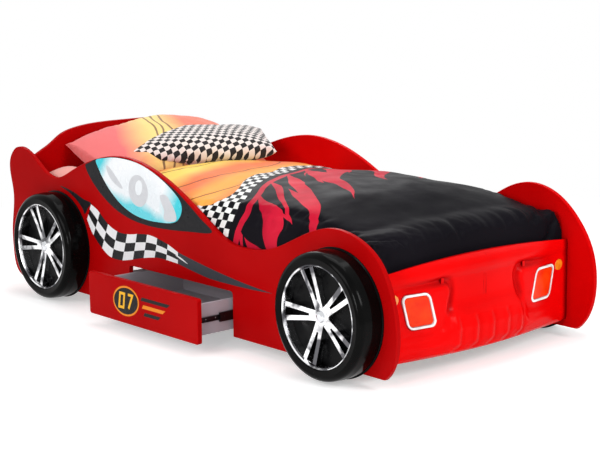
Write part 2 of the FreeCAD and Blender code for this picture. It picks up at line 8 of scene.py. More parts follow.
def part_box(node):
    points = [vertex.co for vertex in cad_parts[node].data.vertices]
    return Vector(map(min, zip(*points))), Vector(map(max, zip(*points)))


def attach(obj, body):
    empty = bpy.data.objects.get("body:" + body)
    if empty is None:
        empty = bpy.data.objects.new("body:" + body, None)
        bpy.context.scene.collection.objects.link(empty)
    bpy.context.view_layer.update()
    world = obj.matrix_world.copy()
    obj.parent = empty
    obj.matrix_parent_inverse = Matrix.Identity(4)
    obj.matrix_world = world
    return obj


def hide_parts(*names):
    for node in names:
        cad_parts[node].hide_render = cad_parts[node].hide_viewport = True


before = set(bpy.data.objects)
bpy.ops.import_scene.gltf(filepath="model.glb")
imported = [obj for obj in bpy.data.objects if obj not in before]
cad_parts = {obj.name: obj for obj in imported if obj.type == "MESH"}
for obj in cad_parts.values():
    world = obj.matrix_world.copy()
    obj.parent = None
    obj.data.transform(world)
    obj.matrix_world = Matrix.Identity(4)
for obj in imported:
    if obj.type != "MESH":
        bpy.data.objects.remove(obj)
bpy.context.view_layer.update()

# ---------------------------------------------------------------- sizes, in metres
PANEL_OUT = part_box("side_panel_left")[1][1]
PANEL_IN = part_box("side_panel_left")[0][1]
FOOT_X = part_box("foot_board")[0][0]
BED_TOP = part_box("mattress")[1][2]
STICKER = 0.0004
LAMP_Y = 0.315


def srgb(r, g, b):
    out = []
    for c in (r, g, b):
        c = c / 255.0
        out.append(c / 12.92 if c <= 0.04045 else ((c + 0.055) / 1.055) ** 2.4)
    return (out[0], out[1], out[2], 1.0)


RED_BOARD = srgb(168, 1, 3)
RED_SHELL = srgb(226, 1, 2)
BLACK_PRINT = srgb(26, 25, 28)
WHITE_PRINT = srgb(232, 232, 234)


# ---------------------------------------------------------------- camera
CAM_AT = Vector((4.0983, -3.6605, 1.3515))
CAM_YAW = 0.8390
CAM_PITCH = 0.1720
CAM_ROLL = -0.0072
FOCAL_PX = 1486.6
CENTRE_PX = (319.35, 216.14)
IMAGE_PX = (600.0, 450.0)


def make_camera():
    sy, cy = math.sin(CAM_YAW), math.cos(CAM_YAW)
    sp, cp = math.sin(CAM_PITCH), math.cos(CAM_PITCH)
    look = Vector((-sy * cp, cy * cp, -sp))
    right = Vector((cy, sy, 0.0))
    up = right.cross(look)
    c, s = math.cos(CAM_ROLL), math.sin(CAM_ROLL)
    right, up = right * c + up * s, up * c - right * s
    data = bpy.data.cameras.new("camera")
    data.sensor_width = 36.0
    data.lens = FOCAL_PX * 36.0 / IMAGE_PX[0]
    data.shift_x = (IMAGE_PX[0] / 2 - CENTRE_PX[0]) / IMAGE_PX[0]
    data.shift_y = (CENTRE_PX[1] - IMAGE_PX[1] / 2) / IMAGE_PX[0]
    data.clip_end = 60.0
    cam = link(bpy.data.objects.new("camera", data))
    m = Matrix((right, up, -look)).transposed().to_4x4()
    m.translation = CAM_AT
    cam.matrix_world = m
    bpy.context.scene.camera = cam


# ---------------------------------------------------------------- materials
class Nodes:
    """Short helper that builds one procedural material."""

    def __init__(self, name):
        self.mat = bpy.data.materials.new(name)
        self.mat.use_nodes = True
        self.tree = self.mat.node_tree
        self.bsdf = self.tree.nodes["Principled BSDF"]
        self.pos = None

    def add(self, kind, **props):
        node = self.tree.nodes.new(kind)
        for key, value in props.items():
            setattr(node, key, value)
        return node

    def link(self, a, b):
        self.tree.links.new(a, b)

    def where(self):
        if self.pos is None:
            self.pos = self.add("ShaderNodeTexCoord").outputs["Object"]
        return self.pos

    def put(self, socket, x):
        if hasattr(x, "is_output"):
            self.link(x, socket)
        else:
            socket.default_value = x

    def math(self, op, a, b=0.0, c=0.0):
        node = self.add("ShaderNodeMath", operation=op)
        for i, x in enumerate((a, b, c)):
            self.put(node.inputs[i], x)
        return node.outputs[0]

    def mix(self, factor, a, b):
        node = self.add("ShaderNodeMix", data_type="RGBA")
        self.put(node.inputs[0], factor)
        self.put(node.inputs[6], a)
        self.put(node.inputs[7], b)
        return node.outputs[2]

    def noise(self, scale, detail=2.0, vector=None, rough=0.5, distortion=0.0):
        node = self.add("ShaderNodeTexNoise")
        node.inputs["Scale"].default_value = scale
        node.inputs["Detail"].default_value = detail
        node.inputs["Roughness"].default_value = rough
        node.inputs["Distortion"].default_value = distortion
        self.link(vector if vector is not None else self.where(), node.inputs["Vector"])
        return node.outputs[0]

    def ramp(self, x, low, high):
        node = self.add("ShaderNodeMapRange")
        self.put(node.inputs[0], x)
        node.inputs[1].default_value = low
        node.inputs[2].default_value = high
        return node.outputs[0]

    def between(self, x, low, high, a, b):
        node = self.add("ShaderNodeMapRange")
        self.put(node.inputs[0], x)
        for i, v in zip((1, 2, 3, 4), (low, high, a, b)):
            node.inputs[i].default_value = v
        return node.outputs[0]

    def axes(self, vector=None):
        node = self.add("ShaderNodeSeparateXYZ")
        self.link(vector if vector is not None else self.where(), node.inputs[0])
        return node.outputs[0], node.outputs[1], node.outputs[2]

    def bump(self, height, strength, distance):
        node = self.add("ShaderNodeBump")
        node.inputs["Strength"].default_value = strength
        node.inputs["Distance"].default_value = distance
        self.link(height, node.inputs["Height"])
        self.link(node.outputs[0], self.bsdf.inputs["Normal"])

    def set(self, **values):
        names = {
            "metal": "Metallic",
            "coat": "Coat Weight",
            "coat_rough": "Coat Roughness",
            "spec": "Specular IOR Level",
            "sheen": "Sheen Weight",
            "sheen_rough": "Sheen Roughness",
        }
        for key, v in values.items():
            self.bsdf.inputs[names[key]].default_value = v


def lacquer(name, color, rough=(0.30, 0.42), coat=0.0, spec=0.018, orange_peel=0.04, crease_shade=None):
    n = Nodes(name)
    cloudy = n.noise(3.0, 3.0)
    dark = tuple(c * 0.90 for c in color[:3]) + (1.0,)
    light = tuple(min(1.0, c * 1.08 + 0.002) for c in color[:3]) + (1.0,)
    body = n.mix(n.ramp(cloudy, 0.3, 0.7), dark, light)
    # painted shade: the colour darkens toward the given shade colour in creases and recesses, where the
    # AO node finds the surface closed in
    if crease_shade is not None:
        shade = n.add("ShaderNodeAmbientOcclusion", samples=8)
        shade.inputs["Distance"].default_value = 0.035
        body = n.mix(n.ramp(shade.outputs["AO"], 0.66, 0.985), crease_shade, body)
    n.put(n.bsdf.inputs["Base Color"], body)
    smear = n.noise(14.0, 4.0)
    n.put(n.bsdf.inputs["Roughness"], n.between(smear, 0.3, 0.7, rough[0], rough[1]))
    n.bump(n.noise(900.0, 2.0), orange_peel, 0.0004)
    n.set(coat=coat, coat_rough=0.12, spec=spec)
    return n.mat


def print_film(name, color, rough=0.3):
    n = Nodes(name)
    wear = n.noise(60.0, 3.0)
    pale = tuple(c * 0.93 + 0.006 for c in color[:3]) + (1.0,)
    n.put(n.bsdf.inputs["Base Color"], n.mix(n.ramp(wear, 0.35, 0.75), color, pale))
    n.put(n.bsdf.inputs["Roughness"], n.between(n.noise(25.0, 3.0), 0.3, 0.7, rough - 0.05, rough + 0.08))
    n.bump(n.noise(700.0, 2.0), 0.03, 0.0003)
    n.set(spec=0.08)
    return n.mat


def plastic(name, color, rough=0.4, grain=0.10, scale=1400.0, spec=0.4):
    n = Nodes(name)
    tone = n.noise(18.0, 3.0)
    dark = tuple(c * 0.85 for c in color[:3]) + (1.0,)
    light = tuple(min(1.0, c * 1.12 + 0.003) for c in color[:3]) + (1.0,)
    n.put(n.bsdf.inputs["Base Color"], n.mix(n.ramp(tone, 0.3, 0.7), dark, light))
    n.put(n.bsdf.inputs["Roughness"], n.between(n.noise(40.0, 3.0), 0.3, 0.7, rough - 0.06, rough + 0.08))
    n.bump(n.noise(scale, 2.0), grain, 0.0003)
    n.set(spec=spec)
    return n.mat


def metal(name, color, rough=(0.12, 0.25), scale=30.0):
    n = Nodes(name)
    cloud = n.noise(scale, 4.0)
    dark = tuple(c * 0.82 for c in color[:3]) + (1.0,)
    n.put(n.bsdf.inputs["Base Color"], n.mix(n.ramp(cloud, 0.3, 0.7), dark, color))
    n.put(n.bsdf.inputs["Roughness"], n.between(n.noise(scale * 3, 4.0), 0.3, 0.7, rough[0], rough[1]))
    n.bump(n.noise(scale * 20, 2.0), 0.04, 0.0002)
    n.set(metal=1.0)
    return n.mat


def chrome(name):
    """Bright plating whose colour holds painted reflections, as dark and light patches, and painted shade
    in its hollows.
    """
    n = Nodes(name)
    # painted reflection: noise patches from dark grey to near white in the colour stand in for what the
    # polished plating reflects
    reflection_patches = n.noise(16.0, 2.0, rough=0.4, distortion=0.8)
    # painted shade: the AO node darkens the colour to near black in the hollows between the spokes
    hollow_shade = n.add("ShaderNodeAmbientOcclusion", samples=6)
    hollow_shade.inputs["Distance"].default_value = 0.010
    deep = n.mix(n.ramp(reflection_patches, 0.40, 0.56), srgb(92, 92, 96), srgb(246, 246, 248))
    open_to_light = n.ramp(hollow_shade.outputs["AO"], 0.35, 0.75)
    n.put(n.bsdf.inputs["Base Color"], n.mix(open_to_light, srgb(30, 30, 32), deep))
    n.put(n.bsdf.inputs["Roughness"], n.between(n.noise(40.0, 3.0), 0.3, 0.7, 0.10, 0.18))
    n.bump(n.noise(300.0, 2.0), 0.03, 0.0002)
    n.set(metal=1.0)
    return n.mat


def wood(name, light, dark, along=(1.0, 14.0, 14.0)):
    n = Nodes(name)
    stretch = n.add("ShaderNodeMapping")
    stretch.inputs["Scale"].default_value = along
    n.link(n.where(), stretch.inputs["Vector"])
    v = stretch.outputs[0]
    grain = n.noise(9.0, 8.0, vector=v, rough=0.65, distortion=0.6)
    rings = n.noise(2.2, 3.0, vector=v, distortion=1.2)
    mixed = n.math("ADD", n.math("MULTIPLY", grain, 0.65), n.math("MULTIPLY", rings, 0.35))
    n.put(n.bsdf.inputs["Base Color"], n.mix(n.ramp(mixed, 0.36, 0.64), dark, light))
    n.put(n.bsdf.inputs["Roughness"], n.between(grain, 0.3, 0.7, 0.45, 0.62))
    n.bump(grain, 0.12, 0.0005)
    return n.mat


def board_white(name, color):
    n = Nodes(name)
    speck = n.noise(420.0, 2.0)
    cloud = n.noise(6.0, 2.0)
    dark = tuple(c * 0.90 for c in color[:3]) + (1.0,)
    both = n.math("ADD", n.math("MULTIPLY", speck, 0.4), n.math("MULTIPLY", cloud, 0.6))
    n.put(n.bsdf.inputs["Base Color"], n.mix(n.ramp(both, 0.35, 0.6), dark, color))
    n.put(n.bsdf.inputs["Roughness"], n.between(speck, 0.3, 0.7, 0.42, 0.55))
    n.bump(speck, 0.08, 0.0002)
    return n.mat


def weave(n, strength=0.25, pitch=0.0011):
    """Plain weave height from two crossed sines over the object's own axes."""
    x, y, z = n.axes()
    k = 2 * math.pi / pitch
    a = n.math("SINE", n.math("MULTIPLY", n.math("ADD", x, n.math("MULTIPLY", z, 0.7)), k))
    b = n.math("SINE", n.math("MULTIPLY", n.math("SUBTRACT", y, n.math("MULTIPLY", z, 0.7)), k))
    h = n.math("MULTIPLY", a, b)
    soft = n.math("ADD", n.math("MULTIPLY", h, 0.5), n.math("MULTIPLY", n.noise(320.0, 2.0), 0.6))
    n.bump(soft, strength, 0.0004)


def cloth_base(n, color_socket):
    """The matt finish that every woven piece but the quilt shares."""
    n.link(color_socket, n.bsdf.inputs["Base Color"])
    n.put(n.bsdf.inputs["Roughness"], n.between(n.noise(90.0, 2.0), 0.3, 0.7, 0.72, 0.86))
    n.set(sheen=0.22, sheen_rough=0.45, spec=0.3)
    return n.mat


# ---------------------------------------------------------------- mesh helpers
def link(obj):
    bpy.context.scene.collection.objects.link(obj)
    return obj


def mesh_object(name, verts, faces, mat, smooth=True):
    me = bpy.data.meshes.new(name)
    me.from_pydata([tuple(v) for v in verts], [], faces)
    me.validate()
    me.update()
    for p in me.polygons:
        p.use_smooth = smooth
    obj = bpy.data.objects.new(name, me)
    me.materials.append(mat)
    return link(obj)


def catmull(points, steps=8, closed=True):
    out = []
    n = len(points)
    spans = n if closed else n - 1
    for i in range(spans):
        if closed:
            p = [Vector(points[(i + j) % n]) for j in (-1, 0, 1, 2)]
        else:
            p = [Vector(points[min(max(i + j, 0), n - 1)]) for j in (-1, 0, 1, 2)]
        for s in range(steps):
            t = s / steps
            a = p[1] * 2
            b = (p[2] - p[0]) * t
            c = (p[0] * 2 - p[1] * 5 + p[2] * 4 - p[3]) * t * t
            d = (p[1] * 3 - p[0] - p[2] * 3 + p[3]) * t * t * t
            out.append((a + b + c + d) * 0.5)
    if not closed:
        out.append(Vector(points[-1]))
    return out


def flat_print(name, outline, side, lift, mat, face="panel"):
    """A thin printed film of this outline, in (x, z), on a side panel or the drawer front."""
    base = side * PANEL_OUT
    if face == "drawer":
        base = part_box("drawer_front")[0][1]
    y0 = base + side * lift
    y1 = base + side * (lift + STICKER)
    bm = bmesh.new()
    a = [bm.verts.new((p[0], y1, p[1])) for p in outline]
    b = [bm.verts.new((p[0], y0, p[1])) for p in outline]
    bm.faces.new(a)
    bm.faces.new(list(reversed(b)))
    n = len(outline)
    for i in range(n):
        bm.faces.new((a[i], b[i], b[(i + 1) % n], a[(i + 1) % n]))
    bmesh.ops.recalc_face_normals(bm, faces=bm.faces)
    bmesh.ops.triangulate(bm, faces=[f for f in bm.faces if len(f.verts) > 4])
    me = bpy.data.meshes.new(name)
    bm.to_mesh(me)
    bm.free()
    me.materials.append(mat)
    obj = link(bpy.data.objects.new(name, me))
    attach(obj, "drawer" if face == "drawer" else "bed")


def paint(node, mat):
    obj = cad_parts[node]
    obj.data.materials.clear()
    obj.data.materials.append(mat)


# ---------------------------------------------------------------- printed films on the side panels
# outlines in (x, z), metres, on the outside of a panel
WINDOW_FRAME = [
    (-0.800, 0.560), (-0.774, 0.572), (-0.729, 0.589), (-0.640, 0.606), (-0.560, 0.612), (-0.480, 0.607),
    (-0.390, 0.589), (-0.300, 0.560), (-0.215, 0.525), (-0.140, 0.484), (-0.070, 0.441),
    (-0.002, 0.397), (-0.140, 0.382), (-0.272, 0.373), (-0.391, 0.372),
    (-0.499, 0.382), (-0.596, 0.407), (-0.679, 0.446), (-0.742, 0.489), (-0.784, 0.530),
]
WINDOW_GLASS = [
    (-0.724, 0.587), (-0.670, 0.599), (-0.599, 0.608), (-0.515, 0.608), (-0.434, 0.599),
    (-0.355, 0.578), (-0.278, 0.547), (-0.215, 0.512), (-0.182, 0.482), (-0.178, 0.450),
    (-0.200, 0.418), (-0.239, 0.401), (-0.310, 0.394), (-0.390, 0.393), (-0.471, 0.402),
    (-0.552, 0.428), (-0.621, 0.469), (-0.675, 0.516), (-0.709, 0.558),
]
GLASS_BLOB = [
    (-0.309, 0.494), (-0.270, 0.500), (-0.240, 0.475), (-0.214, 0.440), (-0.215, 0.412),
    (-0.262, 0.404), (-0.288, 0.412), (-0.284, 0.440), (-0.296, 0.462),
]
GLASS_STREAK = [
    (-0.655, 0.572), (-0.630, 0.566), (-0.588, 0.534), (-0.548, 0.500), (-0.560, 0.494),
    (-0.604, 0.510), (-0.640, 0.538),
]
RING_CENTRE = (-0.446, 0.497)
RING_TILT = -0.18
RING_OUT = (0.062, 0.060)
RING_IN = (0.022, 0.030)

SWOOSH = [
    (-0.990, 0.457), (-0.940, 0.452), (-0.880, 0.440), (-0.820, 0.422), (-0.769, 0.413),
    (-0.790, 0.392), (-0.815, 0.364), (-0.832, 0.384), (-0.870, 0.412), (-0.925, 0.438),
]
FLAG_TOP = [
    (-0.769, 0.408), (-0.726, 0.391), (-0.684, 0.363), (-0.642, 0.338), (-0.586, 0.322),
    (-0.516, 0.322), (-0.447, 0.333), (-0.379, 0.337), (-0.313, 0.328), (-0.261, 0.316),
    (-0.206, 0.297),
]
FLAG_LOW = [
    (-0.800, 0.345), (-0.775, 0.305), (-0.740, 0.270), (-0.705, 0.246), (-0.649, 0.217),
    (-0.578, 0.213), (-0.507, 0.225), (-0.424, 0.244), (-0.343, 0.257), (-0.277, 0.258),
    (-0.208, 0.254),
]
TAIL_TOP = [
    (-0.206, 0.297), (-0.121, 0.282), (-0.005, 0.264), (0.116, 0.248), (0.226, 0.237), (0.325, 0.230),
]
TAIL_LOW = [
    (-0.208, 0.254), (-0.157, 0.246), (-0.089, 0.236), (-0.006, 0.227), (0.116, 0.225), (0.225, 0.226),
]
SLASH = [(-0.222, 0.284), (-0.190, 0.280), (-0.148, 0.262), (-0.186, 0.272)]
FLAG_COLUMNS = 9
FLAG_ROWS = 3


def curve_xz(points, steps=8, closed=True):
    return [(p.x, p.y) for p in catmull([(a, b, 0.0) for a, b in points], steps, closed)]


def even(points, count):
    """count + 1 points at even steps of length along an open line."""
    pts = [Vector((p[0], p[1])) for p in points]
    total = [0.0]
    for a, b in zip(pts, pts[1:]):
        total.append(total[-1] + (b - a).length)
    out = []
    j = 0
    for i in range(count + 1):
        want = total[-1] * i / count
        while j < len(pts) - 2 and total[j + 1] < want:
            j += 1
        t = (want - total[j]) / max(1e-9, total[j + 1] - total[j])
        out.append(pts[j].lerp(pts[j + 1], min(1.0, t)))
    return out


def ellipse(centre, radii, tilt, count=40):
    out = []
    for i in range(count):
        a = 2 * math.pi * i / count
        x, z = radii[0] * math.cos(a), radii[1] * math.sin(a)
        c, s = math.cos(tilt), math.sin(tilt)
        out.append((centre[0] + x * c - z * s, centre[1] + x * s + z * c))
    return out


def ring_mesh(name, outer, inner, y0, y1, mat, body):
    """A flat ring between two outlines of as many (x, z) points, from y0 to y1."""
    n = len(outer)
    verts = [(p[0], y, p[1]) for y in (y0, y1) for ring in (outer, inner) for p in ring]
    faces = []
    for i in range(n):
        j = (i + 1) % n
        faces.append((2 * n + i, 2 * n + j, 3 * n + j, 3 * n + i))
        faces.append((i, j, n + j, n + i))
        faces.append((i, j, 2 * n + j, 2 * n + i))
        faces.append((n + i, n + j, 3 * n + j, 3 * n + i))
    obj = mesh_object(name, verts, faces, mat, smooth=False)
    fix_normals(obj)
    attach(obj, body)


def fix_normals(obj):
    bm = bmesh.new()
    bm.from_mesh(obj.data)
    bmesh.ops.recalc_face_normals(bm, faces=bm.faces)
    bm.to_mesh(obj.data)
    bm.free()


def flag_print(name, side, mats):
    """Checks in FLAG_ROWS rows between two curves, black and white."""
    sub = 4
    cols = FLAG_COLUMNS * sub
    top = even(curve_xz(FLAG_TOP, 8, False), cols)
    low = even(curve_xz(FLAG_LOW, 8, False), cols)
    y0 = side * PANEL_OUT
    y1 = side * (PANEL_OUT + STICKER)
    verts, faces, colors = [], [], []
    for y in (y1, y0):
        for r in range(FLAG_ROWS + 1):
            for c in range(cols + 1):
                p = top[c].lerp(low[c], r / FLAG_ROWS)
                verts.append((p.x, y, p.y))
    row = cols + 1
    back = row * (FLAG_ROWS + 1)
    for r in range(FLAG_ROWS):
        for c in range(cols):
            a = r * row + c
            faces.append((a, a + 1, a + row + 1, a + row))
            colors.append((r + c // sub) % 2)
            faces.append((back + a, back + a + row, back + a + row + 1, back + a + 1))
            colors.append((r + c // sub) % 2)
    for r in range(FLAG_ROWS):
        for c in (0, cols):
            a = r * row + c
            faces.append((a, a + row, back + a + row, back + a))
            colors.append(1)
    for c in range(cols):
        for r in (0, FLAG_ROWS):
            a = r * row + c
            faces.append((a, a + 1, back + a + 1, back + a))
            colors.append(1)
    obj = mesh_object(name, verts, faces, mats[0], smooth=False)
    obj.data.materials.append(mats[1])
    for p, k in zip(obj.data.polygons, colors):
        p.material_index = k
    fix_normals(obj)
    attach(obj, "bed")


def glass_print():
    n = Nodes("print_window_glass")
    x, _, z = n.axes()
    wob = n.math("MULTIPLY", n.math("SUBTRACT", n.noise(7.0, 2.0), 0.5), 0.07)
    to_right = n.math("ADD", n.math("ADD", x, wob), n.math("MULTIPLY", z, -0.35))
    right = n.between(to_right, -0.47, -0.36, 0.0, 1.0)
    to_left = n.math("ADD", n.math("SUBTRACT", x, n.math("MULTIPLY", z, 0.9)), wob)
    left = n.between(to_left, -1.22, -1.15, 1.0, 0.0)
    upward = n.math("ADD", n.math("SUBTRACT", z, n.math("MULTIPLY", x, -0.18)), wob)
    low = n.between(upward, 0.345, 0.385, 0.9, 0.0)
    tint = n.math("MAXIMUM", n.math("MAXIMUM", right, left), low)
    pale = n.mix(n.ramp(n.noise(5.0, 2.0), 0.3, 0.7), srgb(226, 232, 236), srgb(242, 244, 246))
    n.link(n.mix(n.math("MINIMUM", tint, 1.0), pale, srgb(28, 200, 214)), n.bsdf.inputs["Base Color"])
    n.put(n.bsdf.inputs["Roughness"], n.between(n.noise(30.0, 2.0), 0.3, 0.7, 0.22, 0.3))
    n.set(coat=0.2)
    n.bump(n.noise(600.0, 2.0), 0.03, 0.0003)
    return n.mat


def side_prints():
    black = print_film("print_black", BLACK_PRINT)
    white = print_film("print_white", WHITE_PRINT)
    grey = print_film("print_grey", srgb(206, 208, 212))
    dark = print_film("print_slate", srgb(58, 60, 66))
    glass = glass_print()
    for side, word in ((-1, "right"), (1, "left")):
        flat_print("window_frame_" + word, curve_xz(WINDOW_FRAME, 5), side, 0.0, black)
        flat_print("window_glass_" + word, curve_xz(WINDOW_GLASS, 5), side, STICKER, glass)
        outer = ellipse(RING_CENTRE, RING_OUT, RING_TILT)
        inner = ellipse((RING_CENTRE[0] + 0.004, RING_CENTRE[1] + 0.012), RING_IN, RING_TILT - 0.2)
        y0 = side * (PANEL_OUT + 2 * STICKER)
        ring_mesh("window_ring_" + word, outer, inner, y0, y0 + side * STICKER, grey, "bed")
        flat_print("window_blob_" + word, curve_xz(GLASS_BLOB, 5), side, 2 * STICKER, grey)
        flat_print("window_streak_" + word, curve_xz(GLASS_STREAK, 5), side, 2 * STICKER, grey)
        flat_print("swoosh_" + word, curve_xz(SWOOSH, 5), side, 0.0, black)
        flag_print("flag_" + word, side, (white, black))
        tail = curve_xz(TAIL_TOP, 6, False) + list(reversed(curve_xz(TAIL_LOW, 6, False)))
        flat_print("streak_" + word, tail, side, 0.0, dark)
        flat_print("slash_" + word, curve_xz(SLASH, 5), side, STICKER, white)


# ---------------------------------------------------------------- numbers, as thin films
SEGMENTS = {
    "0": [(0, 0), (0, 2), (1, 2), (1, 0)],
    "7": [(0, 2), (1, 2), (0.35, 0)],
}
DIGIT_UNIT = 0.026
DIGIT_WIDE = 1.05
DIGIT_STROKE = 0.010
DIGIT_PITCH = 0.050
DIGIT_LEFT = 0.043
DIGIT_SLANT = 0.004
MITRE_LEAST = 0.35
BADGE_RIM = (0.082, 0.056)
BADGE_FIELD = (0.075, 0.049)
BADGE_TILT = 0.10
BADGE_PLACE = 0.36
BADGE_RAISE = 0.004
BAR_GAP = 0.100
BAR_STEP = (0.008, 0.027)
BAR_TOP = 0.030
BAR_LENGTH = 0.170
BAR_SHORTER = 0.036
BAR_HEIGHT = 0.013
BAR_LEAN = (0.008, 0.018)


def mitred(points, width, closed):
    """The two sides of a mitred stroke along a line of (x, z) points."""
    left, right = [], []
    n = len(points)
    for i in range(n):
        p = Vector(points[i])
        a = (p - Vector(points[i - 1])).normalized()
        b = (Vector(points[(i + 1) % n]) - p).normalized()
        if not closed and i == 0:
            a = b
        if not closed and i == n - 1:
            b = a
        t = (a + b).normalized()
        normal = Vector((-t.y, t.x))
        reach = width / 2 / max(MITRE_LEAST, normal.dot(Vector((-a.y, a.x))))
        left.append(p + normal * reach)
        right.append(p - normal * reach)
    return left, right


def drawer_motif():
    """Plain number in an oval badge with three speed bars."""
    black = print_film("badge_black", srgb(24, 22, 22))
    amber = print_film("badge_amber", srgb(226, 132, 30))
    yellow = print_film("badge_yellow", srgb(236, 176, 40))
    lo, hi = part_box("drawer_front")
    cx = lo[0] + BADGE_PLACE * (hi[0] - lo[0])
    cz = (lo[2] + hi[2]) / 2 + BADGE_RAISE
    rim = ellipse((cx, cz), BADGE_RIM, BADGE_TILT, 48)
    field = ellipse((cx, cz), BADGE_FIELD, BADGE_TILT, 48)
    flat_print("badge_rim", rim, -1, 0.0, amber, "drawer")
    flat_print("badge_field", field, -1, STICKER, black, "drawer")
    for k, digit in enumerate("07"):
        ox = cx - DIGIT_LEFT + k * DIGIT_PITCH
        oz = cz - DIGIT_UNIT
        pts = [
            (ox + p[0] * DIGIT_UNIT * DIGIT_WIDE + p[1] * DIGIT_SLANT, oz + p[1] * DIGIT_UNIT)
            for p in SEGMENTS[digit]
        ]
        left, right = mitred(pts, DIGIT_STROKE, digit == "0")
        if digit == "0":
            y0 = lo[1] - 2 * STICKER
            ring_mesh("badge_digit_0", left, right, y0, y0 - STICKER, yellow, "drawer")
        else:
            outline = left + list(reversed(right))
            flat_print("badge_digit_7", outline, -1, 2 * STICKER, yellow, "drawer")
    for k in range(3):
        x0 = cx + BAR_GAP + BAR_STEP[0] * k
        z0 = cz + BAR_TOP - BAR_STEP[1] * k
        z1 = z0 - BAR_HEIGHT
        x1 = x0 + BAR_LENGTH - BAR_SHORTER * k
        bar = [(x0, z0), (x1, z0), (x1 - BAR_LEAN[1], z1), (x0 - BAR_LEAN[0], z1)]
        flat_print("badge_bar_%d" % k, bar, -1, 0.0, amber if k == 1 else black, "drawer")


# ---------------------------------------------------------------- stage
FLOOR_HALF = 14.0
FLOOR_Z = -0.0002
FADE_FROM = 2.0
FADE_TO = 3.2
FLOOR_LIFT = 0.40
WORLD_LIGHT = 0.46
# name, place, aim, width and height, watts
LAMPS = (
    ("key", (4.4, 0.2, 2.6), (0.7, 0.0, 0.3), (1.6, 1.6), 100.0),
    ("side_fill", (0.0, -4.2, 2.6), (0.0, 0.0, 0.3), (2.6, 1.6), 60.0),
    ("raking", (2.1, -4.2, 1.3), (0.9, 0.0, 0.2), (0.7, 1.2), 50.0),
    ("top_soft", (-0.4, 0.4, 4.2), (-0.1, 0.0, 0.3), (3.2, 2.4), 70.0),
    ("back_rim", (-3.6, 2.6, 2.4), (-0.2, 0.0, 0.4), (2.0, 1.6), 30.0),
)


def make_floor():
    n = Nodes("floor")
    tone = n.mix(n.ramp(n.noise(0.8, 2.0), 0.3, 0.7), (0.83, 0.83, 0.83, 1.0), (0.85, 0.85, 0.85, 1.0))
    n.link(tone, n.bsdf.inputs["Base Color"])
    n.put(n.bsdf.inputs["Roughness"], 0.75)
    corners = [(a * FLOOR_HALF, b * FLOOR_HALF, FLOOR_Z) for a, b in ((-1, -1), (1, -1), (1, 1), (-1, 1))]
    obj = mesh_object("floor", corners, [(0, 1, 2, 3)], n.mat, smooth=False)
    # white far from the object, so that the ground fades to a white page
    path = n.add("ShaderNodeLightPath")
    x, y, _ = n.axes()
    far = n.math("SQRT", n.math("ADD", n.math("MULTIPLY", x, x), n.math("MULTIPLY", y, y)))
    fade = n.between(far, FADE_FROM, FADE_TO, 0.0, 1.0)
    glow = n.add("ShaderNodeEmission")
    glow.inputs["Color"].default_value = (1.0, 1.0, 1.0, 1.0)
    glow.inputs["Strength"].default_value = 1.0
    mix = n.add("ShaderNodeMixShader")
    seen = n.math("MAXIMUM", path.outputs["Is Glossy Ray"], path.outputs["Is Transmission Ray"])
    seen = n.math("MAXIMUM", seen, path.outputs["Is Camera Ray"])
    n.link(n.math("MULTIPLY", fade, seen), mix.inputs[0])
    lift = n.add("ShaderNodeEmission")
    lift.inputs["Color"].default_value = (1.0, 1.0, 1.0, 1.0)
    n.link(n.math("MULTIPLY", seen, FLOOR_LIFT), lift.inputs["Strength"])
    sum_ = n.add("ShaderNodeAddShader")
    n.link(n.bsdf.outputs[0], sum_.inputs[0])
    n.link(lift.outputs[0], sum_.inputs[1])
    out = n.tree.nodes["Material Output"]
    n.link(sum_.outputs[0], mix.inputs[1])
    n.link(glow.outputs[0], mix.inputs[2])
    n.link(mix.outputs[0], out.inputs["Surface"])


def make_world():
    world = bpy.data.worlds.new("world")
    bpy.context.scene.world = world
    world.use_nodes = True
    nodes, link_up = world.node_tree.nodes, world.node_tree.links.new
    back = nodes["Background"]
    back.inputs["Color"].default_value = (1.0, 1.0, 1.0, 1.0)
    back.inputs["Strength"].default_value = WORLD_LIGHT
    white = nodes.new("ShaderNodeBackground")
    white.inputs["Color"].default_value = (1.0, 1.0, 1.0, 1.0)
    white.inputs["Strength"].default_value = 1.0
    sees = nodes.new("ShaderNodeLightPath")
    blend = nodes.new("ShaderNodeMixShader")
    direct = nodes.new("ShaderNodeMath")
    direct.operation = "MAXIMUM"
    mirrored = nodes.new("ShaderNodeMath")
    mirrored.operation = "MAXIMUM"
    link_up(sees.outputs["Is Glossy Ray"], mirrored.inputs[0])
    link_up(sees.outputs["Is Transmission Ray"], mirrored.inputs[1])
    link_up(sees.outputs["Is Camera Ray"], direct.inputs[0])
    link_up(mirrored.outputs[0], direct.inputs[1])
    link_up(direct.outputs[0], blend.inputs[0])
    link_up(back.outputs[0], blend.inputs[1])
    link_up(white.outputs[0], blend.inputs[2])
    link_up(blend.outputs[0], nodes["World Output"].inputs["Surface"])


def make_lamps():
    for name, at, aim, size_xy, watts in LAMPS:
        data = bpy.data.lights.new(name, "AREA")
        data.shape = "RECTANGLE"
        data.size, data.size_y = size_xy
        data.energy = watts
        lamp = link(bpy.data.objects.new(name, data))
        lamp.location = at
        lamp.rotation_euler = (Vector(aim) - Vector(at)).to_track_quat("-Z", "Y").to_euler()


# ---------------------------------------------------------------- finishes of the CAD nodes
LENS_RIB = 0.006


